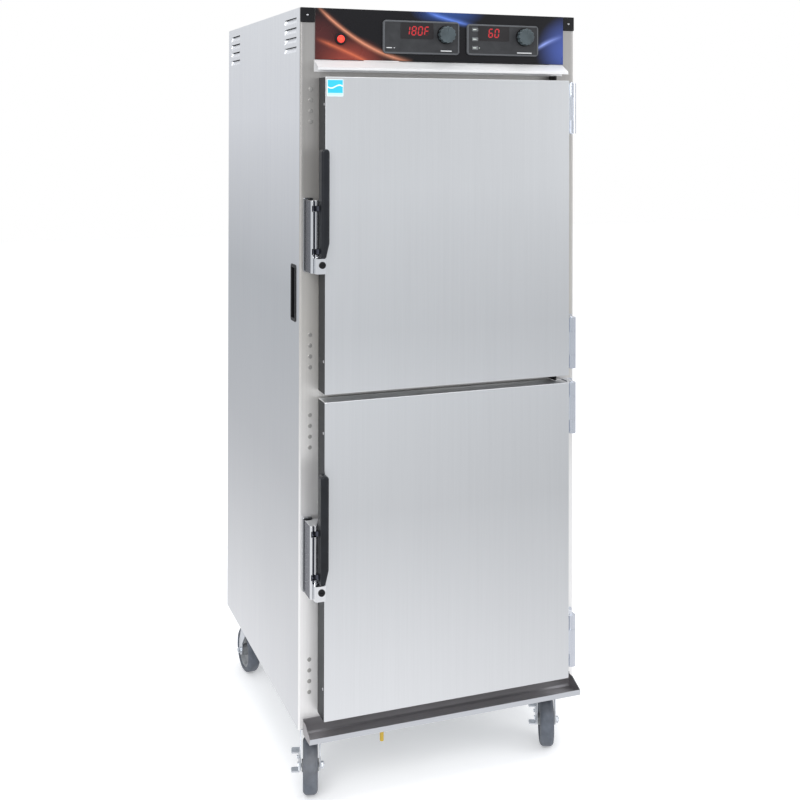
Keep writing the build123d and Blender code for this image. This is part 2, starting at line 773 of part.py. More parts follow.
# name, x, depth, direction of trail in degrees from +X, has a brake
casters = (
    ("front_left", -caster_x, caster_front, 254.0, True),
    ("front_right", caster_x, caster_front, 246.5, True),
    ("rear_left", -caster_x, caster_rear, 94.0, False),
    ("rear_right", caster_x, caster_rear, 84.0, False),
)
wheel_r = 63.5            # 127 mm wheel, also the axle's height
tread_w = 36.0
trail = 38.0              # axle's offset from the swivel centre
axle_r = 5.0
axle_hex_r = 8.5
plate_t = 4.0
plate_z = body_bottom - plate_t
yoke_z = 150.0            # underside of the fork's crown
kingpin_r = 6.0
leg_in = tread_w / 2 + 4.0
leg_t = 3.0
leg_out = leg_in + leg_t
brake_u = trail + 2       # brake's pivot along the trail
brake_z = 86.0
brake_pin_r = 4.0
brake_t = 3.0
brake_v = -(leg_out + 1.0)       # brake plate's inner face along the axle

# along the trail, z
leg_outline = (
    (-14, yoke_z + 5), (22, yoke_z + 5), (trail + 13, 90), (trail + 13, wheel_r),
    (trail - 13, wheel_r), (trail - 15, 88), (-14, 132),
)
# along the trail, height; both from the brake's pivot
brake_outline = (
    (-10, -7), (8, -9), (10, -22), (30, -22), (30, -17),
    (17, -6), (13, 17.5), (-12, 17.5), (-13, 4),
)
# bottom, top, start and end along the trail; press to lock and press to free
brake_treads = ((100, 103.5, trail - 10, trail + 14), (64, 67.5, trail + 12, trail + 32))
bore_r = axle_r + run_clear
# along the axle, radius
core_section = (
    (-20.5, bore_r), (20.5, bore_r), (20.5, 14), (6, 17), (5, 38), (14, 43), (14, 48.9),
    (-14, 48.9), (-14, 43), (-5, 38), (-6, 17), (-20.5, 14),
)


def across(base, u, v, z):
    """Plane with its normal along the axle, towards the base's -y: local x = trail,
    local y = up. Its origin is u along the trail, v along the axle, z up."""
    origin = base.origin + base.x_dir * u + base.y_dir * v + Vector(0, 0, z)
    return Plane(origin=origin, x_dir=base.x_dir, z_dir=-base.y_dir)


def caster_plate(centre):
    with BuildPart() as plate:
        with BuildSketch(level(plate_z)):
            with Locations(centre):
                RectangleRounded(92, 104, 8)
                with GridLocations(70, 80, 2, 2):
                    Circle(5, mode=CUT)
        extrude(amount=plate_t)
        disc(level(plate_z - 6), centre, 27, 6.0)
        # kingpin and its head under the crown
        disc(level(yoke_z - 7), centre, kingpin_r, plate_z - 4 - yoke_z + 7)
        disc(level(yoke_z - 7), centre, 9, 6.0)
    return plate.part


def caster_fork(base, braked):
    """Yoke, axle bolt and nut, and the brake's pin where there is a brake."""
    with BuildPart() as yoke:
        # crown
        with BuildSketch(base.offset(yoke_z)):
            Circle(25)
            with Locations((10, 0)):
                Rectangle(24, 2 * leg_out)
        extrude(amount=6.5)
        disc(base.offset(yoke_z - 1), (0, 0), kingpin_r + run_clear, 10, CUT)
        # two legs down to the axle
        for v in (-leg_in, leg_out):
            with BuildSketch(across(base, 0, v, 0)):
                with BuildLine():
                    Polyline(*leg_outline, close=True)
                make_face()
                with Locations((trail, wheel_r)):
                    Circle(13)
                with Locations((trail, wheel_r)):
                    Circle(axle_r + 0.1, mode=CUT)
            extrude(amount=leg_t)
    with BuildPart() as axle_bolt:
        disc(across(base, trail, leg_out + 9, wheel_r), (0, 0), axle_r, 2 * leg_out + 9 + 6)
        with BuildSketch(across(base, trail, -leg_out - 0.1, wheel_r)):
            RegularPolygon(axle_hex_r, 6)
        extrude(amount=5.9)
    with BuildPart() as axle_nut:
        with BuildSketch(across(base, trail, leg_out + 7.1, wheel_r)):
            RegularPolygon(axle_hex_r, 6)
            Circle(axle_r + 0.1, mode=CUT)
        extrude(amount=7)
    pieces = [yoke.part, axle_bolt.part, axle_nut.part]
    if braked:
        with BuildPart() as brake_pin:
            disc(across(base, brake_u, -leg_out, brake_z), (0, 0), brake_pin_r, 7.5)
        pieces.append(brake_pin.part)
    return pieces


def caster_wheel(base):
    """Core and tyre, each revolved about the axle."""
    centre = base.origin + base.x_dir * trail + Vector(0, 0, wheel_r)
    section_plane = Plane(origin=centre, x_dir=base.y_dir, z_dir=base.x_dir)
    axle = Axis(centre, base.y_dir)
    with BuildPart() as core:
        with BuildSketch(section_plane):
            with BuildLine():
                Polyline(*core_section, close=True)
            make_face()
        revolve(axis=axle)
    with BuildPart() as tyre:
        with BuildSketch(section_plane):
            with BuildLine():
                Line((-15, 49), (15, 49))
                Line((15, 49), (18, 53))
                ThreePointArc((18, 53), (15.2, 60.0), (9, wheel_r))
                Line((9, wheel_r), (-9, wheel_r))
                ThreePointArc((-9, wheel_r), (-15.2, 60.0), (-18, 53))
                Line((-18, 53), (-15, 49))
            make_face()
        revolve(axis=axle)
    return [core.part, tyre.part]


def caster_brake(base):
    """Pivoted plate outside the fork's -y leg, with two foot treads."""
    with BuildPart() as brake:
        with BuildSketch(across(base, brake_u, brake_v, brake_z)):
            with BuildLine():
                Polyline(*brake_outline, close=True)
            make_face()
            Circle(brake_pin_r + run_clear, mode=CUT)
        extrude(amount=brake_t)
        for z0, z1, u0, u1 in brake_treads:
            slab(base.offset(z0), ((u0 + u1) / 2, brake_v - 10), (u1 - u0, 20), 4, z1 - z0)
    return brake.part


plates = []
for tag, x, y, heading, braked in casters:
    # frame on the floor under the swivel: local x = trail, local y = axle
    trail_dir = (cos(radians(heading)), sin(radians(heading)), 0)
    base = Plane(origin=(x, front_y + y, 0), x_dir=trail_dir, z_dir=(0, 0, 1))
    plates.append(caster_plate((x, y)))
    save(caster_fork(base, braked), f"{tag}_fork")
    save(caster_wheel(base), f"{tag}_wheel")
    if braked:
        save(caster_brake(base), f"{tag}_brake")
save(plates, "caster_plates")

# ------------------------------------------------------------------ power cord
cord_out = body_d + 14    # depth of the cord's hanging run
plug_at = cord_x + 18     # x of the cord's lower run and the plug

with BuildPart() as cord_gland:
    with BuildSketch(front_plane(cord_out)):
        with Locations((cord_x, cord_z)):
            Circle(9)
            Circle(4.6, mode=CUT)
    extrude(amount=28)
    with BuildSketch(front_plane(body_d + 5)):
        with Locations((cord_x, cord_z)):
            RegularPolygon(14, 6)
            Circle(8, mode=CUT)
    extrude(amount=4.8)
cord_start = (cord_x, front_y + body_d - 10, cord_z)
hang_y = front_y + cord_out      # world Y
with BuildPart() as cord:
    with BuildLine() as cord_path:
        FilletPolyline(cord_start, (cord_x, hang_y, cord_z), (cord_x, hang_y, cord_z - 500),
                       (plug_at, hang_y, cord_z - 560), (plug_at, hang_y, cord_z - 961),
                       radius=12)
    with BuildSketch(Plane(origin=cord_start, x_dir=(1, 0, 0), z_dir=(0, 1, 0))):
        Circle(4.5)
    sweep(path=cord_path.wires()[0])
with BuildPart() as cord_plug:
    slab(level(cord_z - 1010), (plug_at, cord_out), (30, 24), 8, 49.5)
    fillet(top_face(cord_plug).edges(), 5)
with BuildPart() as prongs:
    with BuildSketch(level(cord_z - 1032)):
        with Locations((plug_at - 6.5, cord_out - 3), (plug_at + 6.5, cord_out - 3)):
            Rectangle(1.6, 6.5)
        with Locations((plug_at, cord_out + 6)):
            Circle(2.4)
    extrude(amount=21.9)
save([cord_gland.part, cord.part, cord_plug.part, *prongs.part.solids()], "power_cord")


# ---------------------------------------------------------------------- screws
def pan_head(plane, centre, radius, height):
    """Pan head of a fixing screw on the given plane, with a cross recess."""
    with BuildPart() as head:
        disc(plane, centre, radius, height)
        rims = head.edges().filter_by(GeomType.CIRCLE)
        fillet(rims.group_by(Axis(plane.origin, plane.z_dir))[-1], height * 0.55)
        with BuildSketch(plane.offset(height)):
            with Locations(centre):
                Rectangle(radius, radius * 0.22)
                Rectangle(radius * 0.22, radius)
        extrude(amount=-height * 0.4, mode=CUT)
    return head.part


# facing backwards: local x = -X, local y = Z
back_face = Plane(origin=(0, front_y + body_d, 0), x_dir=(-1, 0, 0), z_dir=(0, 1, 0))
back_screws = [(x, z) for x in (-355, 355) for z in range(200, 1881, 280)]
back_screws += [(x, z) for x in (-180, 0, 180) for z in (185, 1888)]
hinge_screws = [(360.5, zc + dz) for zc in hinge_zu + hinge_zl for dz in (-39.0, 39.0)]

screws = [pan_head(front_plane(0), (side * (half_w - cap_w / 2), cap_hole_z), 2.9, 2.6)
          for side, cap_w in cap_widths]
screws += [pan_head(back_face, centre, 4.0, 2.4) for centre in back_screws]
screws += [pan_head(front_plane(-3), centre, 4.2, 2.4) for centre in hinge_screws]
save(screws, "cabinet_screws")
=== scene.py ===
import bpy, bmesh, json, math
from mathutils import Vector, Matrix, noise


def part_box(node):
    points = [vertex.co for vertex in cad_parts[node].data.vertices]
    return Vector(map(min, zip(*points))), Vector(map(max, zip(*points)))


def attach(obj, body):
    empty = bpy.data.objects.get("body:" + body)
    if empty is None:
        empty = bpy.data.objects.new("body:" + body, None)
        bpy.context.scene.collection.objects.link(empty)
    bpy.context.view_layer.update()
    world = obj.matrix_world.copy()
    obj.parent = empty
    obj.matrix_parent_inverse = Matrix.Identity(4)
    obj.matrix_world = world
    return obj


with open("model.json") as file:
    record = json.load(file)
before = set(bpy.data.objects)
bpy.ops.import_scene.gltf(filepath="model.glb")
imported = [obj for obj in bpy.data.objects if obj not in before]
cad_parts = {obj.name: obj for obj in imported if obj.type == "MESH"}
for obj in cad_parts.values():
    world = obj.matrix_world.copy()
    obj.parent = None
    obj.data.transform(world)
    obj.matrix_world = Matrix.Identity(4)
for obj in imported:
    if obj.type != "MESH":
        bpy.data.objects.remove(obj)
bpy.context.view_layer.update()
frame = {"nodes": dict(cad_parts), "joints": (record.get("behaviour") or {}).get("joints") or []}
nodes = frame["nodes"]
scene = bpy.context.scene
scene.view_settings.view_transform = "Standard"
scene.view_settings.look = "None"
scene.view_settings.exposure = 0.0
scene.view_settings.gamma = 1.0

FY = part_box("front_frame")[0].y          # front frame face
W2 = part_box("right_side_panel")[1].x     # half width
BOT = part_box("right_side_panel")[0].z
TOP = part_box("top_panel")[1].z


# ------------------------------------------------------------------ node helper
class T:
    """Small helper that adds and links shader nodes."""

    def __init__(self, name):
        self.m = bpy.data.materials.new(name)
        self.m.use_nodes = True
        self.t = self.m.node_tree
        self.t.nodes.clear()
        self.out = self.t.nodes.new("ShaderNodeOutputMaterial")

    def n(self, kind, inputs=None, **props):
        node = self.t.nodes.new("ShaderNode" + kind)
        for k, v in props.items():
            setattr(node, k, v)
        for k, v in (inputs or {}).items():
            sock = node.inputs[k]
            if isinstance(v, bpy.types.NodeSocket):
                self.t.links.new(v, sock)
            elif isinstance(v, bpy.types.Node):
                self.t.links.new(v.outputs[0], sock)
            else:
                sock.default_value = v
        return node

    def link(self, a, b):
        self.t.links.new(a, b)

    def math(self, op, a, b=0.0, clamp=False):
        return self.n("Math", {0: a, 1: b}, operation=op, use_clamp=clamp).outputs[0]

    def coords(self, scale=(1, 1, 1), loc=(0, 0, 0), rot=(0, 0, 0)):
        tc = self.n("TexCoord")
        return self.n("Mapping", {"Vector": tc.outputs["Object"], "Scale": scale, "Location": loc, "Rotation": rot}).outputs[0]

    def noise(self, scale, detail=3.0, vec=None, rough=0.5, **kw):
        i = {"Scale": scale, "Detail": detail, "Roughness": rough}
        if vec is not None:
            i["Vector"] = vec
        return self.n("TexNoise", i, **kw).outputs[0]

    def ramp(self, fac, stops):
        r = self.n("ValToRGB", {0: fac})
        el = r.color_ramp.elements
        while len(el) < len(stops):
            el.new(0.5)
        for e, (p, c) in zip(el, stops):
            e.position = p
            e.color = c if len(c) == 4 else (*c, 1.0)
        return r.outputs[0]

    def remap(self, v, a, b, c, d):
        return self.n("MapRange", {0: v, 1: a, 2: b, 3: c, 4: d}).outputs[0]

    def mixc(self, fac, a, b, blend="MIX"):
        n = self.n("Mix", None, data_type="RGBA", blend_type=blend)
        for idx, v in ((0, fac), (6, a), (7, b)):
            if isinstance(v, bpy.types.NodeSocket):
                self.t.links.new(v, n.inputs[idx])
            elif isinstance(v, (int, float)):
                n.inputs[idx].default_value = v if idx == 0 else (v, v, v, 1)
            else:
                n.inputs[idx].default_value = (*v, 1) if len(v) == 3 else v
        return n.outputs[2]

    def bump(self, height, strength=0.3, distance=0.001, normal=None):
        i = {"Height": height, "Strength": strength, "Distance": distance}
        if normal is not None:
            i["Normal"] = normal
        return self.n("Bump", i).outputs[0]

    def surf(self, **kw):
        p = self.n("BsdfPrincipled", {k.replace("_", " "): v for k, v in kw.items()})
        self.link(p.outputs[0], self.out.inputs[0])
        return p

    def edge(self, radius=0.0015, samples=4):
        """0 on flats, rising towards 1 on edges; the mask for painted edge highlights."""
        bev = self.n("Bevel", {"Radius": radius}, samples=samples)
        geo = self.n("NewGeometry")
        dot = self.n("VectorMath", {0: bev.outputs[0], 1: geo.outputs["Normal"]}, operation="DOT_PRODUCT").outputs["Value"]
        return self.remap(dot, 0.995, 0.80, 0.0, 1.0)


def brushed(name, col, rough=0.3, axis="Z", streak=0.10, aniso=0.55, smudge=0.05, metal=1.0, scale=1.0, tint=None, painted_light_z=None, painted_light_x=None):
    """Brushed sheet: long fine scratches along axis, faint smudges, roughness variation, a painted edge highlight and
    optional painted light ramps along z and x.
    """
    t = T(name)
    long = {"X": (7, 900, 900), "Y": (900, 7, 900), "Z": (900, 900, 7)}[axis]
    mid = {"X": (2, 190, 190), "Y": (190, 2, 190), "Z": (190, 190, 2)}[axis]
    fine = t.noise(scale, 3.0, t.coords(long), 0.6)
    coarse = t.noise(scale, 2.0, t.coords(mid), 0.55)
    cloud = t.noise(2.6, 3.0, t.coords((1, 1, 1)), 0.5)
    s = t.math("ADD", t.math("MULTIPLY", fine, 0.55), t.math("MULTIPLY", coarse, 0.45))
    lo = tuple(c * (1 - streak) for c in col)
    hi = tuple(min(1, c * (1 + streak)) for c in col)
    c = t.mixc(t.remap(s, 0.35, 0.65, 0, 1), lo, hi)
    c = t.mixc(t.remap(cloud, 0.35, 0.7, 0, smudge * 2), c, tuple(x * 0.82 for x in (tint or col)))
    # painted light and shade: colour multiplied by a ramp along z
    if painted_light_z:
        z = t.n("SeparateXYZ", {0: t.coords()}).outputs[2]
        c = t.mixc(1.0, c, t.ramp(t.remap(z, painted_light_z[0], painted_light_z[1], 0, 1), painted_light_z[2]), "MULTIPLY")
    # painted light: colour scaled brighter or darker along x
    if painted_light_x:
        x = t.n("SeparateXYZ", {0: t.coords()}).outputs[0]
        c = t.n("VectorMath", {0: c, "Scale": t.remap(x, *painted_light_x)}, operation="SCALE").outputs[0]
    r = t.math("ADD", rough - 0.07, t.math("MULTIPLY", s, 0.10))
    r = t.math("ADD", r, t.math("MULTIPLY", cloud, 0.08))
    # painted highlight: edges lightened towards 1.25 times the base colour
    e = t.edge(0.0012)
    c = t.mixc(t.math("MULTIPLY", e, 0.35), c, tuple(min(1, x * 1.25) for x in col))
    b = t.bump(s, 0.10, 0.0004)
    tan = t.n("Tangent", direction_type="RADIAL", axis="Z")
    t.surf(Base_Color=c, Metallic=metal, Roughness=r, Anisotropic=aniso, Tangent=tan.outputs[0], Normal=b)
    return t.m


def chrome(name, col=(0.86, 0.87, 0.89), rough=0.10):
    t = T(name)
    v = t.coords()
    n1 = t.noise(45, 4, v)
    pit = t.noise(900, 2, v)
    r = t.math("ADD", rough - 0.03, t.math("MULTIPLY", n1, 0.09))
    c = t.mixc(t.remap(n1, 0.4, 0.75, 0, 0.35), col, tuple(x * 0.86 for x in col))
    b = t.bump(t.math("ADD", t.math("MULTIPLY", pit, 0.15), n1), 0.06, 0.0006)
    t.surf(Base_Color=c, Metallic=1.0, Roughness=r, Normal=b)
    return t.m


def plastic(name, col, rough=0.45, grain=1400, bump=0.25, edge=0.25, coat=0.0, vary=0.25, spec=0.5):
    t = T(name)
    v = t.coords()
    g = t.n("TexVoronoi", {"Vector": v, "Scale": grain}).outputs[0]
    n1 = t.noise(28, 4, v)
    n2 = t.noise(220, 3, v)
    c = t.mixc(t.remap(n1, 0.3, 0.7, 0, 1), tuple(x * (1 - vary) for x in col), tuple(min(1, x * (1 + vary)) for x in col))
    # painted highlight: edges lightened by the edge weight
    e = t.edge(0.0010)
    c = t.mixc(t.math("MULTIPLY", e, edge), c, tuple(min(1, x * 2.2 + 0.012) for x in col))
    r = t.math("ADD", rough - 0.06, t.math("MULTIPLY", n2, 0.14))
    b = t.bump(g, bump, 0.00025)
    t.surf(Base_Color=c, Roughness=r, Normal=b, Coat_Weight=coat, Coat_Roughness=0.12, Specular_IOR_Level=spec)
    return t.m


def rubber(name, col, rough=0.6):
    t = T(name)
    v = t.coords()
    n1 = t.noise(60, 5, v, 0.6)
    n2 = t.noise(900, 2, v)
    c = t.mixc(t.remap(n1, 0.3, 0.7, 0, 1), tuple(x * 0.8 for x in col), tuple(min(1, x * 1.25) for x in col))
    dust = t.remap(t.noise(9, 4, v), 0.5, 0.75, 0, 0.35)
    c = t.mixc(dust, c, (0.30, 0.29, 0.28))
    b = t.bump(t.math("ADD", n1, t.math("MULTIPLY", n2, 0.4)), 0.25, 0.0005)
    t.surf(Base_Color=c, Roughness=t.math("ADD", rough, t.math("MULTIPLY", n1, 0.15)), Normal=b)
    return t.m


def zinc(name, col=(0.66, 0.69, 0.73), rough=0.26):
    t = T(name)
    v = t.coords()
    cell = t.n("TexVoronoi", {"Vector": v, "Scale": 110.0}, feature="F1").outputs["Color"]
    n1 = t.noise(35, 4, v)
    g = t.n("SeparateColor", {0: cell}).outputs[0]
    c = t.mixc(t.math("MULTIPLY", g, 0.35), col, tuple(x * 0.7 for x in col))
    c = t.mixc(t.remap(n1, 0.5, 0.8, 0, 0.5), c, (0.50, 0.52, 0.50))
    # painted highlight: edges lightened towards pale zinc
    e = t.edge(0.0010)
    c = t.mixc(t.math("MULTIPLY", e, 0.4), c, (0.88, 0.89, 0.9))
    r = t.math("ADD", rough, t.math("MULTIPLY", n1, 0.22))
    t.surf(Base_Color=c, Metallic=0.95, Roughness=r, Normal=t.bump(n1, 0.12, 0.0006))
    return t.m


def simple_metal(name, col, rough=0.3, spots=(0.3, 0.2, 0.12)):
    t = T(name)
    v = t.coords()
    n1 = t.noise(40, 5, v)
    n2 = t.noise(400, 3, v)
    c = t.mixc(t.remap(n1, 0.4, 0.75, 0, 0.45), col, spots)
    r = t.math("ADD", rough, t.math("MULTIPLY", n2, 0.2))
    t.surf(Base_Color=c, Metallic=1.0, Roughness=r, Normal=t.bump(n2, 0.12, 0.0004))
    return t.m


def fibre(name, col):
    t = T(name)
    w = t.noise(60, 8, t.coords((1, 1, 6)), 0.75)
    c = t.mixc(t.remap(w, 0.3, 0.7, 0, 1), tuple(x * 0.7 for x in col), col)
    t.surf(Base_Color=c, Roughness=0.95, Normal=t.bump(w, 0.7, 0.004))
    return t.m


def glow(name, col, strength, base=(0.02, 0.0, 0.0)):
    t = T(name)
    v = t.coords()
    n1 = t.noise(700, 2, v)
    s = t.math("MULTIPLY", t.math("ADD", 0.85, t.math("MULTIPLY", n1, 0.3)), strength)
    t.surf(Base_Color=(*base, 1), Roughness=0.35, Emission_Color=(*col, 1), Emission_Strength=s)
    return t.m


def gloss_black(name, col=(0.006, 0.006, 0.007)):
    t = T(name)
    v = t.coords()
    sm = t.noise(14, 4, v)
    t.surf(Base_Color=(*col, 1), Roughness=t.remap(sm, 0.3, 0.7, 0.30, 0.42), Specular_IOR_Level=0.35)
    return t.m


MAT = {}
# painted reflection: the side panels are darker through the middle and brighter towards the bottom and the top
PANEL_PAINTED_LIGHT_Z = (BOT, TOP, [(0.0, (0.82, 0.82, 0.82)), (0.12, (0.76, 0.76, 0.76)), (0.35, (0.66, 0.66, 0.665)), (0.60, (0.66, 0.665, 0.67)), (0.85, (0.98, 0.98, 0.99)), (1.0, (1.0, 1.0, 1.0))])
# painted reflection: door skins brightest at the bottom, with light and dark bands up the middle and darkest at the
# top; the x scale on the door dims them slightly from left to right as painted light
DOOR_PAINTED_LIGHT_Z = (BOT, TOP, [(0.0, (1.0, 1.0, 1.0)), (0.10, (0.97, 0.97, 0.97)), (0.30, (0.86, 0.86, 0.86)), (0.45, (0.94, 0.94, 0.94)), (0.55, (0.86, 0.86, 0.86)), (0.75, (0.89, 0.89, 0.89)), (1.0, (0.76, 0.76, 0.76))])
# painted shade: the front frame is full bright at the bottom and turns warmer and darker up the stiles, where the
# doors and header shade it
STILE_PAINTED_SHADE_Z = (BOT, TOP, [(0.0, (1.0, 1.0, 1.0)), (0.30, (0.97, 0.97, 0.97)), (0.55, (0.63, 0.615, 0.585)), (1.0, (0.34, 0.335, 0.33))])
MAT["panel"] = brushed("stainless_panel", (0.94, 0.955, 0.985), 0.36, "Z", 0.035, 0.45, 0.05, painted_light_z=PANEL_PAINTED_LIGHT_Z)
MAT["door"] = brushed("stainless_door", (0.82, 0.835, 0.85), 0.38, "Z", 0.018, 0.45, 0.04, painted_light_z=DOOR_PAINTED_LIGHT_Z, painted_light_x=(-0.33, 0.33, 1.03, 0.92))
# painted shade: near-black steel for the doors' left side faces, standing in for the shade and dark reflection in the
# gap beside the stile
MAT["door_edge"] = brushed("stainless_door_edge_painted_shade", (0.075, 0.078, 0.082), 0.46, "Z", 0.06, 0.3, 0.06)
MAT["frame"] = brushed("stainless_frame", (0.95, 0.94, 0.93), 0.36, "Z", 0.04, 0.4, 0.05, metal=0.72, painted_light_z=STILE_PAINTED_SHADE_Z)
MAT["plug"] = simple_metal("hole_plugs", (0.52, 0.51, 0.49), 0.30, (0.40, 0.39, 0.38))
MAT["inner"] = brushed("stainless_inner", (0.56, 0.57, 0.58), 0.30, "Z", 0.06, 0.5, 0.08)
MAT["inner_x"] = brushed("stainless_rails", (0.60, 0.61, 0.62), 0.26, "Y", 0.07, 0.5, 0.06)
MAT["top"] = brushed("stainless_top", (0.60, 0.61, 0.63), 0.40, "Y", 0.03, 0.0, 0.05)
MAT["trough"] = brushed("stainless_trough", (0.62, 0.64, 0.67), 0.34, "X", 0.03, 0.4, 0.04)
# painted shade: the trough's inside is darker steel, standing in for the shade inside it
MAT["trough_in"] = brushed("stainless_trough_inside_painted_shade", (0.42, 0.41, 0.42), 0.42, "X", 0.10, 0.4, 0.10)
MAT["lip"] = brushed("stainless_lip", (0.74, 0.74, 0.742), 0.46, "X", 0.015, 0.3, 0.01, metal=0.45)
MAT["hinge"] = brushed("hinge_steel", (0.66, 0.69, 0.75), 0.24, "Z", 0.03, 0.4, 0.04)
MAT["latch_side"] = chrome("latch_side_plate", (0.46, 0.47, 0.50), 0.20)
# dark steel used to paint shade on the latch body's outer side
MAT["latch_dark"] = chrome("latch_dark_steel", (0.10, 0.105, 0.13), 0.26)
MAT["strike"] = chrome("strike_plate", (0.42, 0.43, 0.45), 0.18)
MAT["galv"] = zinc("galvanised_sheet", (0.52, 0.55, 0.57), 0.42)
MAT["chrome"] = chrome("chrome_plate")
MAT["zinc"] = zinc("bright_zinc")
MAT["black"] = plastic("black_plastic", (0.006, 0.006, 0.007), 0.46, spec=0.22)
MAT["lever"] = plastic("lever_plastic", (0.0085, 0.010, 0.013), 0.36, 1100, 0.2, 0.10, spec=0.30)
# the knob's edges take a strong painted highlight (edge weight 0.9)
MAT["knob"] = plastic("knob_plastic", (0.052, 0.068, 0.075), 0.40, 1600, 0.15, 0.9, spec=0.35)
MAT["rubber"] = rubber("gasket_rubber", (0.035, 0.036, 0.040))
MAT["cord"] = rubber("cord_rubber", (0.012, 0.012, 0.013), 0.5)
MAT["tyre"] = rubber("tyre_grey", (0.085, 0.097, 0.118), 0.55)
MAT["core"] = plastic("wheel_core", (0.22, 0.23, 0.24), 0.5, 900, 0.2, 0.3)
MAT["brass"] = simple_metal("brass", (0.70, 0.50, 0.10), 0.28, (0.38, 0.25, 0.05))
MAT["element"] = simple_metal("element_sheath", (0.24, 0.20, 0.19), 0.35, (0.12, 0.08, 0.05))
MAT["motor"] = zinc("motor_can", (0.40, 0.41, 0.42), 0.45)
MAT["screw"] = simple_metal("screw_steel", (0.70, 0.70, 0.72), 0.18, (0.45, 0.45, 0.46))
MAT["fibre"] = fibre("glass_fibre", (0.80, 0.72, 0.38))
MAT["blackgloss"] = gloss_black("display_window", (0.014, 0.012, 0.013))
MAT["red_on"] = glow("led_on", (1.0, 0.035, 0.050), 0.62)
# the unlit bars get a faint red glow: painted light standing in for room light falling on them
MAT["red_off"] = glow("led_off", (1.0, 0.02, 0.03), 0.02)


def assign(mat, *names):
    for n in names:
        o = nodes[n]
        o.data.materials.clear()
        o.data.materials.append(mat)


assign(MAT["panel"], "left_side_panel", "right_side_panel", "top_panel")
assign(MAT["door"], "upper_door_skin", "lower_door_skin")
assign(MAT["frame"], "front_frame")
assign(MAT["plug"], "frame_plugs")
assign(MAT["trough"], "drip_trough")
assign(MAT["lip"], "header_lip")
assign(MAT["galv"], "back_panel", "base_pan")
assign(MAT["motor"], "blower_motor")
assign(MAT["inner"], "inner_liner", "upper_door_liner", "lower_door_liner", "air_tunnel", "water_pan", "slide_posts", "blower_wheel")
assign(MAT["inner_x"], "slide_rails")
assign(MAT["fibre"], "insulation", "upper_door_insulation", "lower_door_insulation")
assign(MAT["black"], "corner_caps", "hand_grips", "door_stops", "upper_latch_lock", "lower_latch_lock", "drain_handle")
assign(MAT["lever"], "upper_latch_lever", "lower_latch_lever")
assign(MAT["knob"], "temperature_knob", "humidity_knob")
assign(MAT["chrome"], "upper_latch_body", "lower_latch_body")
assign(MAT["strike"], "latch_strikes")
assign(MAT["hinge"], "hinge_frame_leaves", "upper_hinge_leaves", "lower_hinge_leaves")
assign(MAT["zinc"], "caster_plates", "front_left_fork", "front_right_fork", "rear_left_fork", "rear_right_fork", "front_left_brake", "front_right_brake")
assign(MAT["brass"], "drain_valve")
assign(MAT["rubber"], "upper_door_gasket", "lower_door_gasket")
assign(MAT["cord"], "power_cord")
assign(MAT["element"], "heating_element")
assign(MAT["screw"], "cabinet_screws")

def by_polygon(name, mat, test):
    """Gives the polygons that pass the test a second material."""
    ob = nodes[name]
    ob.data.materials.append(mat)
    k = len(ob.data.materials) - 1
    for poly in ob.data.polygons:
        if test(poly.center, poly.normal):
            poly.material_index = k
    ob.data.update()


for tag in ("upper", "lower"):
    LATCH_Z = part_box(tag + "_latch_body")[0].z
    # painted shade: the door skin's left side faces take the near-black steel
    by_polygon(tag + "_door_skin", MAT["door_edge"], lambda c, n: n.x < -0.8)
    # painted shade: dark steel on the latch body's outer side face and on a narrow strip near its front; the body's
    # upper part and the lever's ears take the same dark steel
    by_polygon(tag + "_latch_lever", MAT["latch_dark"], lambda c, n: c.x < -0.3432)
    by_polygon(tag + "_latch_body", MAT["latch_dark"], lambda c, n: (n.x < -0.7 and c.y > FY - 0.0595)
               or math.hypot(c.x + 0.35345, c.y - FY + 0.062) < 0.00255 or (c.x > -0.3436 and c.z > LATCH_Z + 0.0365))
# the side panels' front-facing strip takes the frame material, painted shade ramp included
for name in ("left_side_panel", "right_side_panel"):
    by_polygon(name, MAT["frame"], lambda c, n: c.y < FY + 0.0044 and n.y < -0.2)
assign(MAT["top"], "top_panel")
# painted shade on the inside of the trough
by_polygon("drip_trough", MAT["trough_in"], lambda c, n: FY - 0.0586 < c.y and c.z > 0.1584)

# wheels: grey tread over a lighter core, told apart by distance from the axle
for c in ("front_left", "front_right", "rear_left", "rear_right"):
    o = nodes[c + "_wheel"]
    assign(MAT["tyre"], c + "_wheel")
    o.data.materials.append(MAT["core"])
    lo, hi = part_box(c + "_wheel")
    j = [j for j in frame["joints"] if j["name"] == "wheel_" + c][0]
    p, a = Vector(j["pos_m"]), Vector(j["axis"]).normalized()
    for poly in o.data.polygons:
        d = poly.center - p
        r = (d - a * d.dot(a)).length
        poly.material_index = 1 if r < 0.0488 else 0
    o.data.update()


# ------------------------------------------------------------- fascia and modules
def box_sd(t, vx, vz, x0, x1, z0, z1):
    """Signed distance-like field to a rectangle in the x-z plane, negative inside."""
    dx = t.math("SUBTRACT", t.math("ABSOLUTE", t.math("SUBTRACT", vx, (x0 + x1) / 2)), (x1 - x0) / 2)
    dz = t.math("SUBTRACT", t.math("ABSOLUTE", t.math("SUBTRACT", vz, (z0 + z1) / 2)), (z1 - z0) / 2)
    return t.math("MAXIMUM", dx, dz)


flo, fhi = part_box("control_fascia")


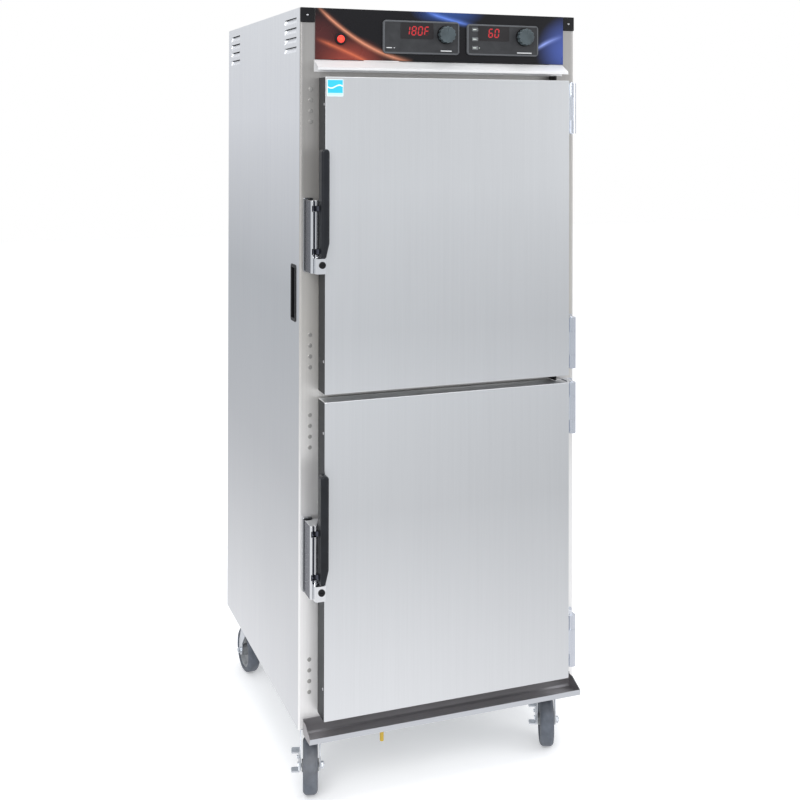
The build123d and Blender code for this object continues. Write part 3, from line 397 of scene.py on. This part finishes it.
def fascia_material():
    t = T("fascia_overlay")
    v = t.coords()
    sep = t.n("SeparateXYZ", {0: v})
    u = t.remap(sep.outputs[0], flo.x, fhi.x, 0, 1)
    w = t.remap(sep.outputs[2], flo.z, fhi.z, 0, 1)
    # warm glow at the lower left, cool glow at the right, over near-black
    wob = t.noise(5.0, 3.0, v, 0.5)

    def blob(cu, cw, su, sw):
        a = t.math("DIVIDE", t.math("SUBTRACT", u, cu), su)
        b = t.math("DIVIDE", t.math("SUBTRACT", w, cw), sw)
        r = t.math("ADD", t.math("MULTIPLY", a, a), t.math("MULTIPLY", b, b))
        r = t.math("ADD", r, t.math("MULTIPLY", t.math("SUBTRACT", wob, 0.5), 0.5))
        return t.remap(r, 0.0, 1.0, 1.0, 0.0)

    warm = t.math("POWER", blob(0.13, -0.10, 0.17, 0.60), 1.5)
    warm2 = t.math("POWER", blob(0.02, 0.42, 0.10, 0.60), 1.5)
    cool = t.math("POWER", blob(1.03, 0.30, 0.15, 0.75), 1.4)
    cool2 = t.math("POWER", blob(0.52, 1.03, 0.16, 0.34), 1.4)
    c = t.mixc(t.math("MULTIPLY", warm, 0.95), (0.004, 0.0038, 0.005), (0.24, 0.042, 0.028))
    c = t.mixc(t.math("MULTIPLY", warm2, 0.5), c, (0.11, 0.020, 0.018))
    c = t.mixc(t.math("MULTIPLY", cool, 0.75), c, (0.06, 0.10, 0.36))
    c = t.mixc(t.math("MULTIPLY", cool2, 0.55), c, (0.03, 0.09, 0.34))
    # flowing light streaks: distance to a gentle curve, fading along its length
    for cu, slope, curve, w0, u0, u1, col, gain in ((0.16, -3.2, 6.0, 0.40, 0.0, 0.38, (0.85, 0.34, 0.20), 0.62), (0.10, -2.2, -2.0, 0.20, 0.0, 0.26, (0.75, 0.18, 0.08), 0.5),
                                                    (0.93, 2.6, -9.0, 0.45, 0.86, 1.0, (0.35, 0.45, 1.0), 0.6), (0.52, -1.3, 2.0, 0.86, 0.42, 0.64, (0.16, 0.30, 0.95), 0.55)):
        du = t.math("SUBTRACT", u, cu)
        line = t.math("ADD", w0, t.math("ADD", t.math("MULTIPLY", du, slope), t.math("MULTIPLY", t.math("MULTIPLY", du, du), curve)))
        dist = t.math("ABSOLUTE", t.math("SUBTRACT", w, line))
        core = t.math("POWER", t.remap(dist, 0.0, 0.11, 1.0, 0.0), 2.6)
        fade = t.math("MULTIPLY", t.remap(u, u0, u0 + 0.05, 0.0, 1.0), t.remap(u, u1 - 0.08, u1, 1.0, 0.0))
        c = t.mixc(t.math("MULTIPLY", t.math("MULTIPLY", core, fade), gain), c, col)
    sm = t.noise(9, 4, v)
    # painted glow: the printed overlay also emits faintly in its own colours
    t.surf(Base_Color=c, Roughness=t.remap(sm, 0.3, 0.7, 0.22, 0.34), Specular_IOR_Level=0.3,
           Emission_Color=c, Emission_Strength=0.10, Normal=t.bump(t.noise(1400, 2, v), 0.05, 0.0002))
    return t.m


assign(fascia_material(), "control_fascia")
o = nodes["control_fascia"]
o.data.materials.append(MAT["black"])
for poly in o.data.polygons:      # the switch bezel stands in front of and behind the overlay
    if poly.center.y < FY - 0.0026 or poly.center.y > FY + 0.0005:
        poly.material_index = 1

KNOB = {}
for nm in ("temperature", "humidity"):
    a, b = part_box(nm + "_knob")
    KNOB[nm] = ((a.x + b.x) / 2, (a.z + b.z) / 2)
    lo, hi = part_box(nm + "_module")
    t = T(nm + "_module_face")
    v = t.coords()
    sep = t.n("SeparateXYZ", {0: v})
    sd = box_sd(t, sep.outputs[0], sep.outputs[2], lo.x, hi.x, lo.z, hi.z)
    rim = t.remap(sd, -0.0052, -0.0034, 0.0, 1.0)
    n1 = t.noise(40, 4, v)
    g = t.n("TexVoronoi", {"Vector": v, "Scale": 1500.0}).outputs[0]
    face = t.mixc(t.remap(n1, 0.3, 0.7, 0, 1), (0.022, 0.023, 0.025), (0.034, 0.035, 0.038))
    c = t.mixc(rim, face, (0.085, 0.089, 0.096))
    t.surf(Base_Color=c, Roughness=t.remap(n1, 0.3, 0.7, 0.44, 0.56), Specular_IOR_Level=0.3, Normal=t.bump(g, 0.15, 0.0002))
    assign(t.m, nm + "_module")
    kx, kz = KNOB[nm]
    by_polygon(nm + "_module", MAT["black"], lambda c, n: (c.x - kx) ** 2 + (c.z - kz) ** 2 < 0.0238 ** 2)

# lit power button: translucent red, brighter at its centre
lo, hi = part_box("power_button")
bc = (lo + hi) / 2
t = T("power_lens")
v = t.coords(loc=(-bc.x, 0, -bc.z))
sep = t.n("SeparateXYZ", {0: v})
r = t.math("SQRT", t.math("ADD", t.math("MULTIPLY", sep.outputs[0], sep.outputs[0]), t.math("MULTIPLY", sep.outputs[2], sep.outputs[2])))
hot = t.remap(r, 0.0, 0.0095, 1.0, 0.15)
c = t.mixc(hot, (0.62, 0.012, 0.008), (0.95, 0.07, 0.03))
n1 = t.noise(300, 3, t.coords())
t.surf(Base_Color=c, Roughness=0.2, Coat_Weight=0.6, Emission_Color=c, Emission_Strength=t.math("ADD", 0.45, t.math("MULTIPLY", n1, 0.2)))
assign(t.m, "power_button")


# ----------------------------------------------------------------- mesh builders
def new_piece(name, bm, mat, body, smooth=False):
    me = bpy.data.meshes.new(name)
    bmesh.ops.recalc_face_normals(bm, faces=bm.faces)
    bm.to_mesh(me)
    bm.free()
    ob = bpy.data.objects.new(name, me)
    scene.collection.objects.link(ob)
    me.materials.append(mat)
    if smooth:
        for p in me.polygons:
            p.use_smooth = True
    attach(ob, body)
    return ob


def rounded_rect(w, h, r, seg=6):
    pts = []
    for cx, cz, a0 in ((w / 2 - r, h / 2 - r, 0), (-w / 2 + r, h / 2 - r, 90), (-w / 2 + r, -h / 2 + r, 180), (w / 2 - r, -h / 2 + r, 270)):
        for k in range(seg + 1):
            a = math.radians(a0 + 90 * k / seg)
            pts.append((cx + r * math.cos(a), cz + r * math.sin(a)))
    return pts


def slab(bm, pts, cx, cz, y_back, y_front, bevel=0.0):
    """Extrudes a closed outline in the x-z plane from y_back to y_front, with an optional stepped-in front edge."""
    def ring(y, k):
        out = []
        for x, z in pts:
            l = math.hypot(x, z) or 1
            out.append(bm.verts.new((cx + x - k * x / l, y, cz + z - k * z / l)))
        return out
    rings = [ring(y_back, 0)]
    if bevel:
        rings += [ring(y_front + bevel, 0), ring(y_front + bevel * 0.3, bevel * 0.3), ring(y_front, bevel)]
    else:
        rings += [ring(y_front, 0)]
    n = len(pts)
    for a, b in zip(rings, rings[1:]):
        for i in range(n):
            bm.faces.new((a[i], a[(i + 1) % n], b[(i + 1) % n], b[i]))
    bm.faces.new(list(reversed(rings[0])))
    bm.faces.new(rings[-1])


SEG = {"0": "abcdef", "1": "bc", "2": "abged", "3": "abgcd", "4": "fgbc", "5": "afgcd", "6": "afgedc", "7": "abc", "8": "abcdefg", "9": "abfgcd", "F": "afge", "-": "g", " ": ""}


def seg_shape(seg, w, h, th):
    """Outline of one bar of a seven-bar digit; origin at the digit's centre, slanted a little."""
    g = th * 0.18
    k = th / 2
    def hor(z):
        return [(-w / 2 + g + k, z - k), (-w / 2 + g, z), (-w / 2 + g + k, z + k), (w / 2 - g - k, z + k), (w / 2 - g, z), (w / 2 - g - k, z - k)]
    def ver(x, z0, z1):
        return [(x, z0 + g), (x - k, z0 + g + k), (x - k, z1 - g - k), (x, z1 - g), (x + k, z1 - g - k), (x + k, z0 + g + k)]
    out = {"a": hor(h / 2), "g": hor(0), "d": hor(-h / 2), "b": ver(w / 2, 0, h / 2), "c": ver(w / 2, -h / 2, 0), "e": ver(-w / 2, -h / 2, 0), "f": ver(-w / 2, 0, h / 2)}[seg]
    return [(x + 0.12 * z, z) for x, z in out]


def digits(name, text, ghosts, cx, cz, w, h, pitch, th, y):
    n = len(text)
    lit, dim = bmesh.new(), bmesh.new()
    for i, ch in enumerate(text):
        x = cx + (i - (n - 1) / 2) * pitch
        for s in "abcdefg":
            if s in SEG[ch]:
                bm, yy = lit, y - 0.0002
            elif ghosts[i]:
                bm, yy = dim, y - 0.0001
            else:
                continue
            pts = seg_shape(s, w, h, th)
            back = [bm.verts.new((x + px, y + 0.0002, cz + pz)) for px, pz in pts]
            front = [bm.verts.new((x + px, yy, cz + pz)) for px, pz in pts]
            m = len(pts)
            for k in range(m):
                bm.faces.new((back[k], back[(k + 1) % m], front[(k + 1) % m], front[k]))
            bm.faces.new(list(reversed(back)))
            bm.faces.new(front)
    new_piece(name + "_digits", lit, MAT["red_on"], "cabinet")
    if len(dim.verts):
        new_piece(name + "_unlit_bars", dim, MAT["red_off"], "cabinet")
    else:
        dim.free()


tlo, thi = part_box("temperature_module")
hlo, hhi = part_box("humidity_module")
face_y = FY - 0.0078         # recessed field of the modules
tx0, tz0 = tlo.x, tlo.z
# display windows
for nm, cx, cz, w, h in (("temperature", -0.0725, 1.8560, 0.088, 0.040), ("humidity", 0.1375, 1.8560, 0.088, 0.040)):
    bm = bmesh.new()
    slab(bm, rounded_rect(w, h, 0.003), cx, cz, face_y + 0.0004, face_y - 0.0008, 0.0005)
    new_piece(nm + "_window", bm, MAT["blackgloss"], "cabinet")
digits("temperature", "180F", (0, 1, 1, 1), -0.0725, 1.8560, 0.0100, 0.0205, 0.0170, 0.0029, face_y - 0.0008)
digits("humidity", " 60 ", (0, 0, 0, 0), 0.1375, 1.8560, 0.0100, 0.0205, 0.0170, 0.0029, face_y - 0.0008)

# printed marks: plain bars and dots in place of words
bm = bmesh.new()
for cx, cz, w, h in ((-0.1465, 1.8125, 0.015, 0.0018), (-0.1330, 1.8125, 0.0025, 0.0018), (0.0060, 1.8075, 0.030, 0.0024),
                     (0.2245, 1.8075, 0.042, 0.0024)):
    slab(bm, rounded_rect(w, h, min(w, h) * 0.4, 3), cx, cz, face_y + 0.0003, face_y - 0.00025)
new_piece("module_marks", bm, plastic("mark_ink", (0.62, 0.63, 0.64), 0.5, 1800, 0.05, 0.0, 0.0, 0.05), "cabinet")
bm = bmesh.new()
for cz in (1.8640, 1.8395, 1.8175):
    slab(bm, rounded_rect(0.017, 0.0095, 0.002, 4), 0.0855, cz, face_y + 0.0003, face_y - 0.0012, 0.0006)
new_piece("humidity_keys", bm, plastic("key_grey", (0.10, 0.105, 0.11), 0.45), "cabinet")
bm = bmesh.new()
for cz in (1.8640, 1.8395, 1.8175):
    slab(bm, rounded_rect(0.009, 0.0022, 0.0008, 3), 0.0840, cz, face_y - 0.0011, face_y - 0.0015)
    slab(bm, rounded_rect(0.0022, 0.0022, 0.0010, 4), 0.0975, cz, face_y + 0.0003, face_y - 0.0006)
new_piece("humidity_key_marks", bm, plastic("key_ink", (0.55, 0.60, 0.55), 0.5, 1800, 0.05, 0.0, 0.0, 0.05), "cabinet")

# square sticker on the upper door: plain cyan field with a simple wave band
dlo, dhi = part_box("upper_door_skin")
sx, sz = dlo.x + 0.0245, dhi.z - 0.0265
t = T("sticker_cyan")
v = t.coords(loc=(-sx, 0, -sz))
sep = t.n("SeparateXYZ", {0: v})
wav = t.n("Math", {0: t.math("MULTIPLY", sep.outputs[0], 150.0)}, operation="SINE").outputs[0]
d = t.math("ABSOLUTE", t.math("SUBTRACT", sep.outputs[2], t.math("ADD", t.math("MULTIPLY", wav, 0.0035), 0.003)))
band = t.remap(d, 0.0012, 0.0020, 1.0, 0.0)
edge_d = box_sd(t, sep.outputs[0], sep.outputs[2], -0.0200, 0.0200, -0.0200, 0.0200)
border = t.remap(edge_d, -0.0014, -0.0009, 0.0, 1.0)
foot = t.remap(sep.outputs[2], -0.0125, -0.0118, 1.0, 0.0)
c = t.mixc(t.noise(25, 3, v), (0.01, 0.42, 0.72), (0.03, 0.52, 0.80))
c = t.mixc(band, c, (0.72, 0.90, 0.95))
c = t.mixc(foot, c, (0.45, 0.78, 0.88))
c = t.mixc(border, c, (0.80, 0.93, 0.96))
t.surf(Base_Color=c, Roughness=0.38, Coat_Weight=0.3)
bm = bmesh.new()
slab(bm, rounded_rect(0.040, 0.040, 0.0012, 4), sx, sz, dlo.y + 0.0001, dlo.y - 0.0003)
new_piece("door_sticker", bm, t.m, "upper_door")

# small screw on the latch-side edge of each door
for tag, dzs in (("upper", 0.066), ("upper", 0.678), ("lower", 0.074), ("lower", 0.680)):
    a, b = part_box(tag + "_door_skin")
    bm = bmesh.new()
    prof = [(0.0034, 0.0), (0.0034, -0.0008), (0.0026, -0.0014), (0.0012, -0.0016)]
    rings = []
    for rr, off in prof:
        rings.append([bm.verts.new((a.x + off, a.y + 0.0075 + rr * math.cos(2 * math.pi * k / 24), b.z - dzs + rr * math.sin(2 * math.pi * k / 24))) for k in range(24)])
    for q, w in zip(rings, rings[1:]):
        for k in range(24):
            bm.faces.new((q[k], q[(k + 1) % 24], w[(k + 1) % 24], w[k]))
    bm.faces.new(rings[0])
    bm.faces.new(list(reversed(rings[-1])))
    new_piece("%s_door_edge_screw_%d" % (tag, round(dzs * 1000)), bm, MAT["screw"], tag + "_door")

# ---------------------------------------------------------------- floor and light
def stage_floor():
    me = bpy.data.meshes.new("floor")
    s = 14.0
    me.from_pydata([(-s, -s, 0), (s, -s, 0), (s, s, 0), (-s, s, 0)], [], [(0, 1, 2, 3)])
    ob = bpy.data.objects.new("floor", me)
    scene.collection.objects.link(ob)
    t = T("floor_pale")
    v = t.coords()
    lp = t.n("LightPath")
    n1 = t.noise(1.2, 3, v)
    base = t.mixc(n1, (0.90, 0.90, 0.905), (0.94, 0.94, 0.94))
    p = t.n("BsdfPrincipled", {"Base Color": base, "Roughness": 0.7, "Specular IOR Level": 0.15})
    em = t.n("Emission", {"Color": (1, 1, 1, 1), "Strength": 0.22})
    add = t.n("AddShader", {0: p.outputs[0], 1: em.outputs[0]})
    # what the steel sees of the floor: bright near the cabinet, a little greyer far off
    ln = t.n("VectorMath", {0: v}, operation="LENGTH").outputs["Value"]
    gl = t.n("Emission", {"Color": t.ramp(t.remap(ln, 0.8, 6.0, 0, 1), [(0.0, (0.95, 0.95, 0.97)), (0.35, (0.78, 0.79, 0.81)), (1.0, (0.66, 0.68, 0.71))]), "Strength": 1.0})
    mix = t.n("MixShader", {0: lp.outputs["Is Glossy Ray"], 1: add.outputs[0], 2: gl.outputs[0]})
    t.link(mix.outputs[0], t.out.inputs[0])
    me.materials.append(t.m)
    return ob


stage_floor()

world = bpy.data.worlds.new("studio")
scene.world = world
world.use_nodes = True
wt = world.node_tree
wt.nodes.clear()
wout = wt.nodes.new("ShaderNodeOutputWorld")
bg_cam = wt.nodes.new("ShaderNodeBackground")
bg_cam.inputs[0].default_value = (1, 1, 1, 1)
bg_cam.inputs[1].default_value = 1.0
bg_env = wt.nodes.new("ShaderNodeBackground")
tc = wt.nodes.new("ShaderNodeTexCoord")
sepw = wt.nodes.new("ShaderNodeSeparateXYZ")
wt.links.new(tc.outputs["Generated"], sepw.inputs[0])
rampw = wt.nodes.new("ShaderNodeValToRGB")
mr = wt.nodes.new("ShaderNodeMapRange")
mr.inputs[1].default_value, mr.inputs[2].default_value = -0.2, 0.7
wt.links.new(sepw.outputs[2], mr.inputs[0])
wt.links.new(mr.outputs[0], rampw.inputs[0])
els = rampw.color_ramp.elements
els[0].position, els[0].color = 0.0, (0.70, 0.71, 0.74, 1)
els[1].position, els[1].color = 1.0, (0.95, 0.97, 1.0, 1)
e = els.new(0.25); e.color = (0.66, 0.67, 0.69, 1)
e = els.new(0.42); e.color = (0.78, 0.79, 0.82, 1)
wt.links.new(rampw.outputs[0], bg_env.inputs[0])
bg_env.inputs[1].default_value = 0.95
lpw = wt.nodes.new("ShaderNodeLightPath")
mixw = wt.nodes.new("ShaderNodeMixShader")
wt.links.new(lpw.outputs["Is Camera Ray"], mixw.inputs[0])
wt.links.new(bg_env.outputs[0], mixw.inputs[1])
wt.links.new(bg_cam.outputs[0], mixw.inputs[2])
wt.links.new(mixw.outputs[0], wout.inputs[0])


def area(name, loc, target, size, power, col=(1, 1, 1), spread=180):
    d = bpy.data.lights.new(name, "AREA")
    d.shape = "RECTANGLE"
    d.size, d.size_y = size
    d.energy = power
    d.color = col
    d.spread = math.radians(spread)
    ob = bpy.data.objects.new(name, d)
    scene.collection.objects.link(ob)
    ob.location = loc
    ob.rotation_euler = (Vector(target) - Vector(loc)).to_track_quat("-Z", "Y").to_euler()
    return ob


area("key", (-2.6, -3.6, 3.2), (0, 0, 1.0), (2.4, 2.4), 90)
area("fill", (3.4, -2.4, 2.4), (0, 0, 1.0), (2.0, 2.6), 40)
area("top", (0, 0, 4.2), (0, 0, 0), (3.0, 3.0), 60)

# ----------------------------------------------------------------------- camera
F_PX, YAW, PITCH, ROLL = 1183.3, math.radians(20.52), math.radians(-0.37), math.radians(0.12)
CAM = Vector((-0.772 - 0.3735, -2.754 + FY, 1.620))
cam_data = bpy.data.cameras.new("camera")
cam = bpy.data.objects.new("camera", cam_data)
scene.collection.objects.link(cam)
fw = Vector((math.sin(YAW) * math.cos(PITCH), math.cos(YAW) * math.cos(PITCH), -math.sin(PITCH)))
rt = Vector((math.cos(YAW), -math.sin(YAW), 0))
up = rt.cross(fw)
r2 = rt * math.cos(ROLL) + up * math.sin(ROLL)
u2 = up * math.cos(ROLL) - rt * math.sin(ROLL)
cam.matrix_world = Matrix(((r2.x, u2.x, -fw.x, CAM.x), (r2.y, u2.y, -fw.y, CAM.y), (r2.z, u2.z, -fw.z, CAM.z), (0, 0, 0, 1)))
cam_data.sensor_width = 36.0
cam_data.lens = 36.0 * F_PX / 800.0
cam_data.clip_start, cam_data.clip_end = 0.05, 200
# vertical lens shift of the product shot; only from this viewpoint
SHIFT = -(400 - 117.9) / 800.0
drv = cam_data.driver_add("shift_y").driver
drv.type = "SCRIPTED"
for nm, ax in (("x", "LOC_X"), ("y", "LOC_Y"), ("z", "LOC_Z")):
    var = drv.variables.new()
    var.name = nm
    var.type = "TRANSFORMS"
    var.targets[0].id = cam
    var.targets[0].transform_type = ax
    var.targets[0].transform_space = "WORLD_SPACE"
drv.expression = "%.5f if abs(x-(%.5f))+abs(y-(%.5f))+abs(z-(%.5f)) < 0.004 else 0" % (SHIFT, CAM.x, CAM.y, CAM.z)
scene.camera = cam
